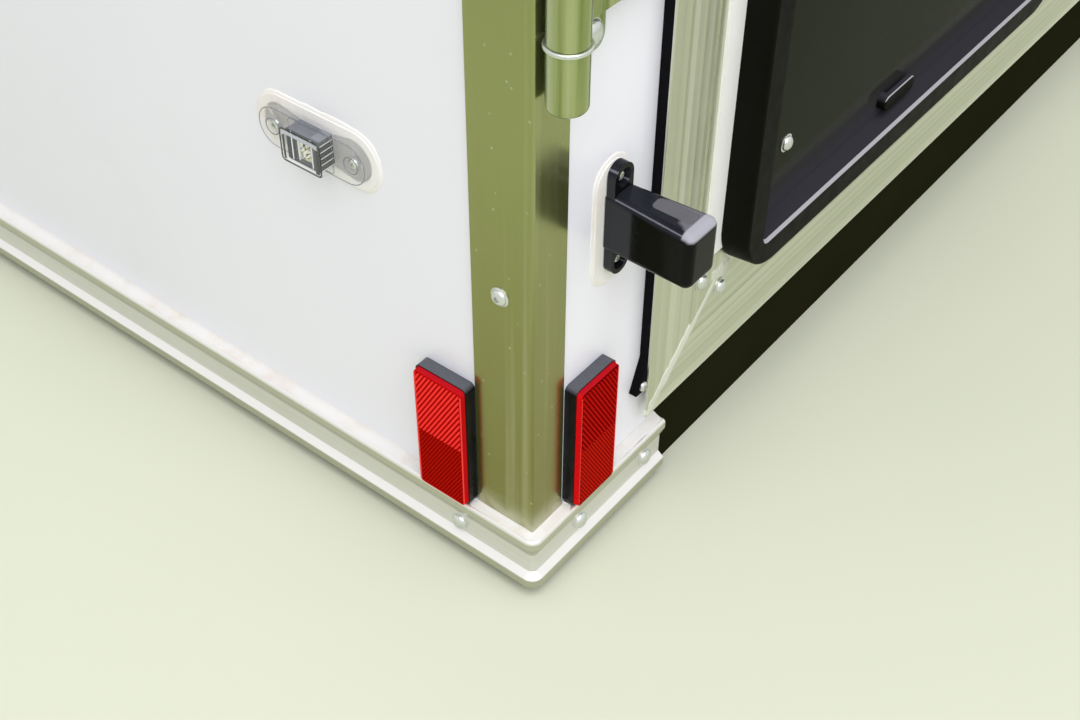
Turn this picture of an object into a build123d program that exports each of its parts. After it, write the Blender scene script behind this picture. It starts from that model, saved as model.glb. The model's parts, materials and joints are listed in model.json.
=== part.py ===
"""Lower rear corner of an enclosed trailer body.

Side wall, end wall, corner post, mitred base rails, floor and chassis beams carry two
reflectors, a side marker lamp, an outline lamp and the hinge of the rear door, which has a
mitred fluted frame and a window.

The datum is the corner where the outer faces of the two walls meet, at the top of the base
rail's ledge. From it the side wall runs to -X and faces -Y, and the end wall and the door
run to +Y and face +X. Heights are counted from the ledge, sizes are in millimetres.
"""
import os
from build123d import *

# Extent of the corner, out to its section cuts
side_length = 600.0
end_length = 966.0
wall_height = 450.0

# Sandwich walls and the floor
wall = 27.0
end_wall_width = 133.0
end_wall_edge_radius = 4.0
floor_thickness = 30.0
floor_top = 27.0

# Corner post, an angle over the walls' corner, and the trim angle inside
post_gauge = 2.5
post_side_leg = 44.0
post_edge_radius = 1.5
trim_leg = 20.0
trim_gauge = 1.6

# Base rail, a hollow extrusion: ledge, waist and lower ridge, with a lip turned in under the wall
ledge_depth = 9.8
ledge_lip = 7.5
ledge_radius = 2.5
waist_depth = 6.0
waist_top_drop = 16.5
waist_foot_drop = 32.5
ridge_depth = 10.6
ridge_top_drop = 36.0
ridge_foot_drop = 43.0
rail_depth = 44.0
rail_gauge = 1.8
rail_under_lip = 14.0
rail_corner_radius = 8.0

# Chassis: rectangular steel tube
tube_wall = 3.0
beam_width = 40.0
chassis_foot_drop = 54.0

# Rear door: fluted frame proud of the wall by its seal, sandwich panel, running gap to the body
door_standoff = 7.0
door_gap = 5.0
door_overlap = 23.0
door_foot = 19.5
flange_gauge = 1.5
frame_face = 85.0
frame_lip = 2.4
frame_lip_radius = 0.45
flute_drop = 0.5
flute_count = 4
flute_first = 12.0
flute_pitch = 8.0
flute_radius = 28.0
flute_depth = 0.25
groove_from_edge = 42.9
groove_width = 5.0
groove_depth = 0.8
channel_gauge = 2.0
channel_lip = 24.0

# Window: white mounting frame, black frame with a rebate for the dark pane, inner trim
window_from_door_edge = 69.0
window_foot = 97.0
window_width = 470.0
window_height = 300.0
window_radius = 38.0
window_border = 22.5
window_reach = 23.0
window_draft = 5.0
window_bevel = 2.0
window_edge_radius = 2.0
mounting_border = 16.5
mounting_drop = 22.0
mounting_gauge = 2.0
mounting_radius = 14.0
pane_gauge = 4.0
pane_rebate = 8.0
inner_radius = 6.0
trim_flange = 18.0
trim_sleeve = 2.0
fit_gap = 0.2

# Window catch: round foot on the pane and a lever that reaches over it
catch_across = 199.0
catch_up = 34.5
catch_foot_radius = 6.0
catch_foot_height = 3.0
catch_length = 44.0
catch_width = 12.5
catch_gauge = 4.0
catch_edge_radius = 1.5

# Door hinge: vertical pin outside the corner post, straight strap on the door frame
hinge_reach = 15.5
hinge_inset = 6.7
hinge_pin_radius = 5.0
hinge_running_gap = 0.05
knuckle_radius = 11.0
fixed_knuckle_foot = 318.0
fixed_knuckle_height = 34.5
washer_height = 2.4
washer_rim = 1.5
moving_knuckle_height = 78.0
knuckle_gap = 0.3
knuckle_edge_radius = 3.5
leaf_far = 50.0
leaf_foot = 330.0
leaf_gauge = 3.0
leaf_head = 436.0
leaf_corner_radius = 8.0
strap_gauge = 4.0
strap_height = 55.0
strap_over_door = 46.0
strap_corner_radius = 11.0
cap_radius = 9.5
cap_height = 5.0
cap_edge_radius = 2.5

# Rubber seal under the door frame's edge, and the wedge that ends it
seal_width = 9.0
seal_gap = 0.4
seal_foot = 44.0
block_run = 9.9
block_height = 26.0
block_radius = 1.5

# Reflectors
reflector_width = 40.0
reflector_height = 102.0
reflector_base_depth = 8.5
reflector_lens_depth = 3.5
reflector_rim = 1.0
reflector_radius = 4.0
reflector_lens_radius = 3.0
reflector_draft = 8.0
reflector_foot = 0.5
side_reflector_near = 43.5
end_reflector_near = 31.0

# Side marker lamp
marker_from_corner = 156.0
marker_up = 228.0
marker_length = 85.0
marker_width = 28.0
marker_depth = 14.0
marker_foot_depth = 5.0
marker_foot_radius = 1.5
marker_dome_length = 34.0
marker_dome_radius = 2.5
marker_dome_draft = 8.0
marker_shell = 1.5
marker_core_length = 26.0
marker_core_width = 21.0
marker_core_depth = 11.0
marker_core_radius = 1.5
marker_recess_width = 15.0
marker_recess_depth = 4.0
marker_chip = 5.0
marker_chip_height = 1.5
marker_screw_pitch = 62.0
marker_screw_radius = 2.2
marker_well_radius = 5.0
marker_well_floor = 2.0
marker_pad_border = 5.0
marker_pad_depth = 1.5

# Outline lamp
outline_across = 71.3
outline_up = 207.6
outline_base_height = 76.0
outline_base_width = 17.5
outline_base_depth = 6.0
outline_reach = 60.0
outline_root_rise = 0.4
outline_root_height = 41.0
outline_root_width = 19.5
outline_tip_shift = 4.2
outline_tip_drop = 1.8
outline_tip_height = 37.5
outline_tip_width = 29.0
outline_side_radius = 5.5
outline_tip_radius = 5.3
outline_screw_radius = 2.4
outline_well_radius = 6.0
outline_well_depth = 4.0
outline_ear_pitch = 58.0
outline_pad_height = 85.0
outline_pad_width = 28.5
outline_pad_shift = 2.5
outline_pad_sag = 3.6
outline_pad_depth = 1.5
outline_lens_from_tip = 8.0
outline_lens_length = 26.0
outline_lens_width = 10.0
outline_lens_shift = 1.8
outline_lens_depth = 2.0
outline_lens_radius = 3.0
outline_lens_gap = 0.1
outline_lens_draft = 20.0
outline_red_rise = 2.4

# Places that follow from the sizes above
wall_foot_drop = rail_depth - rail_gauge
post_end_leg = wall + post_gauge
side_reach = max(
    marker_pad_depth + marker_depth,
    reflector_base_depth + reflector_lens_depth,
    ledge_depth,
    ridge_depth,
)
corner = (
    (side_length - outline_reach) / 2,
    (side_reach - end_length) / 2,
    chassis_foot_drop,
)
door_left = end_wall_width - door_overlap
channel_inset = door_overlap + door_gap
door_width = end_length - door_left
window_left = door_left + window_from_door_edge
panel_inset = channel_inset + channel_gauge
sill_top = door_foot + door_overlap

# Working planes: plan view at the ledge, and the outer faces of the two walls
plan = Plane(origin=corner, x_dir=(1, 0, 0), z_dir=(0, 0, 1))
side_face = Plane(origin=corner, x_dir=(1, 0, 0), z_dir=(0, -1, 0))
end_face = Plane(origin=corner, x_dir=(0, 1, 0), z_dir=(1, 0, 0))
door_face = end_face.offset(door_standoff)

low = Align.MIN
high = Align.MAX


def save(name, piece):
    """Label a finished piece and write it under its own name."""
    piece.label = name
    export_step(piece, f"parts/{name}.step")


def face_point(plane, across, up, out=0.0):
    """Point on a wall's outer face, in the model's frame."""
    return plane.from_local_coords((across, up, out))


os.makedirs("parts", exist_ok=True)

# Walls and floor
with BuildPart() as side_panel:
    with BuildSketch(plan.offset(-wall_foot_drop)):
        Rectangle(side_length, wall, align=(high, low))
    extrude(amount=wall_foot_drop + wall_height)
save("side_panel", side_panel.part)

with BuildPart() as end_panel:
    with BuildSketch(plan.offset(-wall_foot_drop)) as end_panel_plan:
        with Locations((0, wall)):
            Rectangle(wall, end_wall_width - wall, align=(high, low))
        fillet(end_panel_plan.vertices().group_by(Axis.Y)[-1].sort_by(Axis.X)[-1], end_wall_edge_radius)
    extrude(amount=wall_foot_drop + wall_height)
save("end_panel", end_panel.part)

with BuildPart() as floor_panel:
    with BuildSketch(plan.offset(floor_top - floor_thickness)):
        with Locations((-beam_width, wall)):
            Rectangle(side_length - beam_width, end_length - wall, align=(high, low))
        with Locations((-wall, wall)):
            Rectangle(beam_width - wall, end_wall_width - wall, align=(high, low))
    extrude(amount=floor_thickness)
save("floor_panel", floor_panel.part)

# Corner post outside, trim angle inside
with BuildPart() as corner_post:
    with BuildSketch(plan) as post_plan:
        with Locations((post_gauge, -post_gauge)):
            Rectangle(post_side_leg, post_gauge, align=(high, low))
            Rectangle(post_gauge, post_end_leg, align=(high, low))
        outer_corner = post_plan.vertices().group_by(Axis.X)[-1].sort_by(Axis.Y)[0]
        fillet(outer_corner, post_edge_radius)
    extrude(amount=wall_height)
save("corner_post", corner_post.part)

with BuildPart() as inner_corner_trim:
    with BuildSketch(plan.offset(floor_top)):
        with Locations((-wall, wall)):
            Rectangle(trim_leg, trim_gauge, align=(high, low))
            Rectangle(trim_gauge, trim_leg, align=(high, low))
    extrude(amount=wall_height - floor_top)
save("inner_corner_trim", inner_corner_trim.part)


# Base rails: one section, turned round the corner and cut through the mitre
with BuildSketch() as rail_profile:
    with BuildLine():
        Polyline(
            (0, 0),
            (ledge_depth, 0),
            (ledge_depth, -ledge_lip),
            (waist_depth, -waist_top_drop),
            (waist_depth, -waist_foot_drop),
            (ridge_depth, -ridge_top_drop),
            (ridge_depth, -ridge_foot_drop),
            (waist_depth, -rail_depth),
            (0, -rail_depth),
            close=True,
        )
    make_face()
    nose = rail_profile.vertices().group_by(Axis.Y)[-1].sort_by(Axis.X)[-1]
    fillet(nose, ledge_radius)
    offset(amount=-rail_gauge, mode=Mode.SUBTRACT)

rail_turn = ledge_depth - rail_corner_radius
side_rail_plane = Plane(origin=corner, x_dir=(0, -1, 0), z_dir=(-1, 0, 0))
end_rail_plane = Plane(origin=corner, x_dir=(1, 0, 0), z_dir=(0, -1, 0))
with BuildPart() as rail_corner:
    with BuildSketch(side_rail_plane.offset(-rail_turn)):
        add(rail_profile.sketch)
    extrude(amount=side_length + rail_turn)
    with BuildSketch(end_rail_plane.offset(-end_wall_width)):
        add(rail_profile.sketch)
    extrude(amount=end_wall_width + rail_turn)
    with BuildSketch(side_rail_plane.offset(-rail_turn)):
        add(rail_profile.sketch)
        Rectangle(rail_turn, rail_depth, align=(low, high), mode=Mode.SUBTRACT)
    turn_axis = Axis(face_point(plan, rail_turn, -rail_turn), (0, 0, 1))
    revolve(axis=turn_axis, revolution_arc=90)
    with BuildSketch(plan.offset(-rail_depth)):
        Rectangle(side_length, rail_under_lip, align=(high, low))
        Rectangle(rail_under_lip, end_wall_width, align=(high, low))
    extrude(amount=rail_gauge)

mitre = Plane(origin=corner, z_dir=(-1, -1, 0))
for name, kept in {"side_rail": Keep.TOP, "end_rail": Keep.BOTTOM}.items():
    with BuildPart() as rail:
        add(rail_corner.part)
        split(bisect_by=mitre, keep=kept)
    save(name, rail.part)


# Chassis: the end beam is the door's sill, the side beam and cross member lie under the floor
def tube_section(width, height):
    """Rectangular tube, from its lower left corner."""
    Rectangle(width, height, align=(low, low))
    with Locations((tube_wall, tube_wall)):
        Rectangle(width - 2 * tube_wall, height - 2 * tube_wall, align=(low, low), mode=Mode.SUBTRACT)


under_floor = floor_top - floor_thickness + chassis_foot_drop
with BuildPart() as end_beam:
    start = face_point(plan, -beam_width, end_length, -chassis_foot_drop)
    with BuildSketch(Plane(origin=start, x_dir=(1, 0, 0), z_dir=(0, -1, 0))):
        tube_section(beam_width, sill_top + chassis_foot_drop)
    extrude(amount=end_length - end_wall_width)
save("end_beam", end_beam.part)

with BuildPart() as side_beam:
    start = face_point(plan, -side_length, end_wall_width, -chassis_foot_drop)
    with BuildSketch(Plane(origin=start, x_dir=(0, 1, 0), z_dir=(1, 0, 0))):
        tube_section(beam_width, under_floor)
    extrude(amount=side_length - beam_width)
save("side_beam", side_beam.part)

with BuildPart() as cross_member:
    start = face_point(plan, -side_length, end_length, -chassis_foot_drop)
    with BuildSketch(Plane(origin=start, x_dir=(1, 0, 0), z_dir=(0, -1, 0))):
        tube_section(beam_width, under_floor)
    extrude(amount=end_length - end_wall_width - beam_width)
save("cross_member", cross_member.part)


# Door frame: fluted flange outside, channel for the panel behind it.
# In the section x runs in from the frame's outer edge and y out from the door's face.
flute_crest = flange_gauge - flute_drop
flutes = [
    (flute_first + row * flute_pitch, flute_crest + flute_radius - flute_depth)
    for row in range(flute_count)
]
with BuildSketch() as frame_profile:
    Rectangle(frame_face, flange_gauge, align=(low, low))
    with Locations((frame_lip, flange_gauge)):
        Rectangle(groove_from_edge - frame_lip, flute_drop, align=(low, high), mode=Mode.SUBTRACT)
    with Locations((groove_from_edge, flange_gauge)):
        Rectangle(groove_width, groove_depth, align=(Align.CENTER, high), mode=Mode.SUBTRACT)
    with Locations(*flutes):
        Circle(flute_radius, mode=Mode.SUBTRACT)
    lip_edges = frame_profile.vertices().group_by(Axis.Y)[-1].sort_by(Axis.X)[:2]
    fillet(lip_edges, frame_lip_radius)
    with Locations((channel_inset, 0)):
        Rectangle(channel_gauge, wall, align=(low, high))
    with Locations((channel_inset, -wall)):
        Rectangle(channel_lip, channel_gauge, align=(low, low))

left_mitre = Plane(origin=face_point(door_face, door_left, door_foot), z_dir=(0, -1, 1))
right_mitre = Plane(origin=face_point(door_face, end_length, door_foot), z_dir=(0, 1, 1))

with BuildPart() as door_left_stile:
    start = face_point(door_face, door_left, wall_height)
    with BuildSketch(Plane(origin=start, x_dir=(0, 1, 0), z_dir=(0, 0, -1))):
        add(frame_profile.sketch)
    extrude(amount=wall_height - door_foot)
    split(bisect_by=left_mitre, keep=Keep.TOP)
save("door_left_stile", door_left_stile.part)

with BuildPart() as door_right_stile:
    start = face_point(door_face, end_length, door_foot)
    with BuildSketch(Plane(origin=start, x_dir=(0, -1, 0), z_dir=(0, 0, 1))):
        add(frame_profile.sketch)
    extrude(amount=wall_height - door_foot)
    split(bisect_by=right_mitre, keep=Keep.TOP)
save("door_right_stile", door_right_stile.part)

with BuildPart() as door_bottom_rail:
    start = face_point(door_face, door_left, door_foot)
    with BuildSketch(Plane(origin=start, x_dir=(0, 0, 1), z_dir=(0, 1, 0))):
        add(frame_profile.sketch)
    extrude(amount=door_width)
    split(bisect_by=left_mitre, keep=Keep.BOTTOM)
    split(bisect_by=right_mitre, keep=Keep.BOTTOM)
save("door_bottom_rail", door_bottom_rail.part)

# Window, from its middle: what fits in it is offset from its outline
window_middle = (window_left + window_width / 2, window_foot + window_height / 2)
opening_width = window_width - 2 * window_border
opening_height = window_height - 2 * window_border
cut_width = opening_width + 2 * trim_sleeve
cut_height = opening_height + 2 * trim_sleeve

with BuildPart() as door_panel:
    with BuildSketch(door_face.offset(channel_gauge - wall)):
        with Locations((door_left + panel_inset, door_foot + panel_inset)):
            Rectangle(
                door_width - 2 * panel_inset, wall_height - door_foot - panel_inset, align=(low, low)
            )
        with Locations(window_middle):
            RectangleRounded(cut_width, cut_height, inner_radius + trim_sleeve, mode=Mode.SUBTRACT)
    extrude(amount=wall - channel_gauge)
save("door_panel", door_panel.part)

mounting_front = flange_gauge + mounting_gauge
packing_left = door_left + frame_face + fit_gap
packing_foot = door_foot + frame_face + fit_gap
packing_width = window_left + window_width - packing_left
packing_height = window_foot + window_height - packing_foot
with BuildPart() as window_mounting_frame:
    with BuildSketch(door_face.offset(flange_gauge)):
        with Locations(window_middle):
            RectangleRounded(
                window_width + 2 * mounting_border, window_height - 2 * mounting_drop, mounting_radius
            )
            RectangleRounded(
                window_width - window_border, window_height - window_border, window_radius
            )
            RectangleRounded(opening_width, opening_height, inner_radius, mode=Mode.SUBTRACT)
    extrude(amount=mounting_gauge)
    with BuildSketch(door_face):
        with Locations((packing_left, packing_foot)):
            Rectangle(packing_width, packing_height, align=(low, low))
        with Locations(window_middle):
            RectangleRounded(cut_width, cut_height, inner_radius + trim_sleeve, mode=Mode.SUBTRACT)
    extrude(amount=flange_gauge)
save("window_mounting_frame", window_mounting_frame.part)

pane_width = opening_width + 2 * pane_rebate
pane_height = opening_height + 2 * pane_rebate
pane_front = mounting_front + pane_gauge
with BuildPart() as window_frame:
    with BuildSketch(door_face.offset(mounting_front)):
        with Locations(window_middle):
            RectangleRounded(window_width, window_height, window_radius)
    extrude(amount=window_reach - mounting_front, taper=window_draft)
    fillet(window_frame.faces().sort_by(Axis.X)[-1].edges(), window_edge_radius)
    with BuildSketch(door_face.offset(window_reach)):
        with Locations(window_middle):
            RectangleRounded(opening_width, opening_height, inner_radius)
    extrude(amount=mounting_front - window_reach, mode=Mode.SUBTRACT)
    chamfer(window_frame.faces().sort_by(Axis.X)[-1].inner_wires().edges(), window_bevel)
    with BuildSketch(door_face.offset(mounting_front)):
        with Locations(window_middle):
            Rectangle(pane_width, pane_height)
    extrude(amount=pane_gauge, mode=Mode.SUBTRACT)
save("window_frame", window_frame.part)

with BuildPart() as window_pane:
    with BuildSketch(door_face.offset(mounting_front)):
        with Locations(window_middle):
            Rectangle(pane_width - 2 * fit_gap, pane_height - 2 * fit_gap)
    extrude(amount=pane_gauge)
save("window_pane", window_pane.part)

catch_middle = (window_left + catch_across, window_foot + catch_up)
with BuildPart() as window_catch:
    with BuildSketch(door_face.offset(pane_front)):
        with Locations(catch_middle):
            Circle(catch_foot_radius)
    extrude(amount=catch_foot_height)
    with BuildSketch(door_face.offset(pane_front + catch_foot_height)):
        with Locations(catch_middle):
            with Locations((catch_length / 2 - catch_width / 2, 0)):
                SlotOverall(catch_length, catch_width)
    extrude(amount=catch_gauge)
    fillet(window_catch.faces().sort_by(Axis.X)[-1].edges(), catch_edge_radius)
save("window_catch", window_catch.part)

with BuildPart() as window_inner_trim:
    with BuildSketch(door_face.offset(-wall)):
        with Locations(window_middle):
            RectangleRounded(
                cut_width + 2 * trim_flange, cut_height + 2 * trim_flange, inner_radius + trim_flange
            )
            RectangleRounded(opening_width, opening_height, inner_radius, mode=Mode.SUBTRACT)
    extrude(amount=channel_gauge)
    with BuildSketch(door_face.offset(-wall)):
        with Locations(window_middle):
            RectangleRounded(
                cut_width - 2 * fit_gap, cut_height - 2 * fit_gap, inner_radius + trim_sleeve - fit_gap
            )
            RectangleRounded(opening_width, opening_height, inner_radius, mode=Mode.SUBTRACT)
    extrude(amount=wall + flange_gauge)
save("window_inner_trim", window_inner_trim.part)

# Hinge: leaf and lower knuckle on the body, pin, washer, strap and upper knuckle on the door
fixed_head = fixed_knuckle_foot + fixed_knuckle_height
moving_foot = fixed_head + washer_height + knuckle_gap
moving_head = moving_foot + moving_knuckle_height
pin_foot = fixed_knuckle_foot + knuckle_radius / 2
hinge_axis = (hinge_reach, hinge_inset)
with BuildPart() as hinge_leaf:
    with BuildSketch(plan.offset(fixed_knuckle_foot)):
        with Locations(hinge_axis):
            Circle(knuckle_radius)
    extrude(amount=fixed_knuckle_height)
    fillet(hinge_leaf.faces().sort_by(Axis.Z)[0].edges(), knuckle_edge_radius)
    with BuildSketch(end_face.offset(post_gauge)):
        with Locations((hinge_inset, leaf_foot)):
            Rectangle(leaf_far - hinge_inset, fixed_head - leaf_foot, align=(low, low))
        with Locations((hinge_inset + knuckle_radius, leaf_foot)):
            Rectangle(leaf_far - hinge_inset - knuckle_radius, leaf_head - leaf_foot, align=(low, low))
    extrude(amount=leaf_gauge)
    with BuildSketch(end_face):
        with Locations((wall, leaf_foot)):
            Rectangle(leaf_far - wall, leaf_head - leaf_foot, align=(low, low))
    extrude(amount=post_gauge)
    fillet(hinge_leaf.edges().filter_by(Axis.X).group_by(Axis.Y)[-1], leaf_corner_radius)
    with BuildSketch(plan.offset(pin_foot)):
        with Locations(hinge_axis):
            Circle(hinge_pin_radius)
    extrude(amount=fixed_head - pin_foot, mode=Mode.SUBTRACT)
save("hinge_leaf", hinge_leaf.part)

with BuildPart() as hinge_pin:
    with BuildSketch(plan.offset(pin_foot)):
        with Locations(hinge_axis):
            Circle(hinge_pin_radius)
    extrude(amount=moving_head - pin_foot + knuckle_gap)
    with BuildSketch(plan.offset(moving_head + knuckle_gap)):
        with Locations(hinge_axis):
            Circle(cap_radius)
    extrude(amount=cap_height)
    fillet(hinge_pin.faces().sort_by(Axis.Z)[-1].edges(), cap_edge_radius)
save("hinge_pin", hinge_pin.part)

with BuildPart() as hinge_washer:
    with BuildSketch(plan.offset(fixed_head)):
        with Locations(hinge_axis):
            Circle(knuckle_radius + washer_rim)
            Circle(hinge_pin_radius, mode=Mode.SUBTRACT)
    extrude(amount=washer_height)
    fillet(hinge_washer.edges().group_by(SortBy.LENGTH)[-1], washer_height / 3)
save("hinge_washer", hinge_washer.part)

strap_end = door_left + strap_over_door
with BuildPart() as hinge_strap:
    with BuildSketch(door_face.offset(flange_gauge)):
        with Locations((hinge_inset, moving_foot)):
            Rectangle(strap_end - hinge_inset, strap_height, align=(low, low))
    extrude(amount=strap_gauge)
    fillet(hinge_strap.edges().filter_by(Axis.X).group_by(Axis.Y)[-1], strap_corner_radius)
    with BuildSketch(plan.offset(moving_foot)):
        with Locations(hinge_axis):
            Circle(knuckle_radius)
    extrude(amount=moving_knuckle_height)
    with BuildSketch(plan.offset(moving_foot)):
        with Locations(hinge_axis):
            Circle(hinge_pin_radius + hinge_running_gap)
    extrude(amount=moving_knuckle_height, mode=Mode.SUBTRACT)
save("hinge_strap", hinge_strap.part)

# Seal under the door frame's edge, and the wedge that ends it above the rail
seal_left = door_left + seal_gap
seal_reach = door_standoff - seal_gap
block_head = seal_foot + block_height
with BuildPart() as door_seal:
    with BuildSketch(plan.offset(block_head)):
        with Locations((0, seal_left)):
            Rectangle(seal_reach, seal_width, align=(low, low))
    extrude(amount=wall_height - block_head)
save("door_seal", door_seal.part)

with BuildPart() as seal_end_block:
    with BuildSketch(end_face):
        with BuildLine():
            Polyline(
                (seal_left - block_run, seal_foot),
                (seal_left + seal_width, seal_foot),
                (seal_left + seal_width, block_head),
                (seal_left, block_head),
                close=True,
            )
        make_face()
    extrude(amount=seal_reach)
    fillet(seal_end_block.faces().sort_by(Axis.X)[-1].edges(), block_radius)
save("seal_end_block", seal_end_block.part)

with BuildPart() as sill_seal:
    with BuildSketch(end_face):
        with Locations((end_wall_width, door_foot + seal_gap)):
            Rectangle(end_length - end_wall_width, seal_width, align=(low, low))
    extrude(amount=seal_reach)
save("sill_seal", sill_seal.part)

# Reflectors, one on each wall beside the post
reflector_places = {
    "side": (side_face, -side_reflector_near - reflector_width / 2),
    "end": (end_face, end_reflector_near + reflector_width / 2),
}
lens_width = reflector_width - 2 * reflector_rim
lens_height = reflector_height - 2 * reflector_rim
for name, (face, across) in reflector_places.items():
    middle = (across, reflector_foot + reflector_height / 2)
    with BuildPart() as reflector_base:
        with BuildSketch(face):
            with Locations(middle):
                RectangleRounded(reflector_width, reflector_height, reflector_radius)
        extrude(amount=reflector_base_depth)
    save(f"{name}_reflector_base", reflector_base.part)
    with BuildPart() as reflector_lens:
        with BuildSketch(face.offset(reflector_base_depth)):
            with Locations(middle):
                RectangleRounded(lens_width, lens_height, reflector_lens_radius)
        extrude(amount=reflector_lens_depth, taper=reflector_draft)
    save(f"{name}_reflector_lens", reflector_lens.part)

# Side marker lamp: pad on the wall, black core with two light chips, clear lens over it
marker_middle = (-marker_from_corner, marker_up)
with BuildPart() as side_marker_pad:
    with BuildSketch(side_face):
        with Locations(marker_middle):
            SlotOverall(marker_length + 2 * marker_pad_border, marker_width + 2 * marker_pad_border)
    extrude(amount=marker_pad_depth)
save("side_marker_pad", side_marker_pad.part)

marker_seat = side_face.offset(marker_pad_depth)
marker_floor = marker_seat.offset(marker_core_depth - marker_recess_depth)
with BuildPart() as side_marker_core:
    with BuildSketch(marker_seat):
        with Locations(marker_middle):
            RectangleRounded(marker_core_length, marker_core_width, marker_core_radius)
    extrude(amount=marker_core_depth)
    with BuildSketch(marker_floor):
        with Locations(marker_middle):
            Rectangle(marker_recess_width, marker_core_width - 2 * marker_shell)
    extrude(amount=marker_recess_depth, mode=Mode.SUBTRACT)
    with BuildSketch(marker_floor):
        with Locations(marker_middle):
            with GridLocations(0, marker_chip + marker_shell, 1, 2):
                Rectangle(marker_chip, marker_chip)
    extrude(amount=marker_chip_height)
save("side_marker_core", side_marker_core.part)

with BuildPart() as side_marker_lens:
    with BuildSketch(marker_seat):
        with Locations(marker_middle):
            SlotOverall(marker_length, marker_width)
    extrude(amount=marker_foot_depth)
    fillet(side_marker_lens.faces().sort_by(Axis.Y)[0].edges(), marker_foot_radius)
    with BuildSketch(marker_seat.offset(marker_foot_depth)):
        with Locations(marker_middle):
            RectangleRounded(
                marker_dome_length, marker_width - 2 * marker_foot_radius, marker_dome_radius
            )
    extrude(amount=marker_depth - marker_foot_depth, taper=marker_dome_draft)
    with BuildSketch(marker_seat):
        with Locations(marker_middle):
            RectangleRounded(
                marker_core_length + 2 * fit_gap, marker_core_width + 2 * fit_gap, marker_core_radius
            )
    extrude(amount=marker_core_depth + fit_gap, mode=Mode.SUBTRACT)
    with Locations(marker_seat.offset(marker_foot_depth)):
        with Locations(marker_middle):
            with GridLocations(marker_screw_pitch, 0, 2, 1):
                CounterBoreHole(
                    marker_screw_radius,
                    marker_well_radius,
                    marker_foot_depth - marker_well_floor,
                    marker_foot_depth,
                )
save("side_marker_lens", side_marker_lens.part)

# Outline lamp: pad on the wall, base with two ears, and a body that leans a little to its tip
outline_middle = (outline_across, outline_up)
outline_root = (outline_across, outline_up + outline_root_rise)
outline_tip = (outline_across + outline_tip_shift, outline_up - outline_tip_drop)
with BuildPart() as outline_lamp_pad:
    with BuildSketch(end_face):
        with Locations((outline_across - outline_pad_shift, outline_up - outline_pad_sag)):
            SlotOverall(outline_pad_height, outline_pad_width, rotation=90)
    extrude(amount=outline_pad_depth)
save("outline_lamp_pad", outline_lamp_pad.part)

outline_seat = end_face.offset(outline_pad_depth)


def lens_plane(side):
    """Plane of the lamp body's upper (1) or lower (-1) face, in the middle of its lens."""
    at_root = Vector(0, side * outline_root_height / 2) + Vector(*outline_root)
    at_tip = Vector(0, side * outline_tip_height / 2) + Vector(*outline_tip)
    tip = face_point(end_face, at_tip.X, at_tip.Y, outline_reach)
    along = (tip - face_point(end_face, at_root.X, at_root.Y, outline_pad_depth)).normalized()
    middle = tip - along * (outline_lens_from_tip + outline_lens_length / 2)
    return Plane(origin=middle, x_dir=along, z_dir=along.cross(Vector(0, side, 0)))


# Name, plane and height over the body of each lens
outline_lenses = (("top", lens_plane(1), 0.0), ("red", lens_plane(-1), outline_red_rise))


def lens_outline(clearance):
    """Outline of a lens in the lamp's body, grown by the clearance of its seat."""
    with Locations((0, outline_lens_shift)):
        RectangleRounded(
            outline_lens_length + 2 * clearance,
            outline_lens_width + 2 * clearance,
            outline_lens_radius,
        )


with BuildPart() as outline_lamp_body:
    with BuildSketch(outline_seat):
        with Locations(outline_root):
            RectangleRounded(outline_root_width, outline_root_height, outline_side_radius)
    with BuildSketch(end_face.offset(outline_reach)):
        with Locations(outline_tip):
            RectangleRounded(outline_tip_width, outline_tip_height, outline_side_radius)
    loft()
    fillet(outline_lamp_body.faces().sort_by(Axis.X)[-1].edges(), outline_tip_radius)
    with BuildSketch(outline_seat):
        with Locations(outline_middle):
            SlotOverall(outline_base_height, outline_base_width, rotation=90)
    extrude(amount=outline_base_depth)
    with Locations(outline_seat.offset(outline_base_depth)):
        with Locations(outline_middle):
            with GridLocations(0, outline_ear_pitch, 1, 2):
                CounterBoreHole(
                    outline_screw_radius, outline_well_radius, outline_well_depth, outline_base_depth
                )
    for name, face, rise in outline_lenses:
        with BuildSketch(face.offset(-outline_lens_depth)):
            lens_outline(outline_lens_gap)
        extrude(amount=2 * outline_lens_depth, mode=Mode.SUBTRACT)
save("outline_lamp_body", outline_lamp_body.part)

for name, face, rise in outline_lenses:
    with BuildPart() as outline_lamp_lens:
        with BuildSketch(face.offset(-outline_lens_depth)):
            lens_outline(0)
        extrude(amount=outline_lens_depth)
        if rise:
            with BuildSketch(face):
                lens_outline(0)
            extrude(amount=rise, taper=outline_lens_draft)
    save(f"outline_lamp_{name}_lens", outline_lamp_lens.part)
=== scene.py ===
"""Looks of the trailer corner: finishes, fasteners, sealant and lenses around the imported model."""
import json
import math

import bmesh
import bpy
from mathutils import Matrix, Vector, noise


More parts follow.
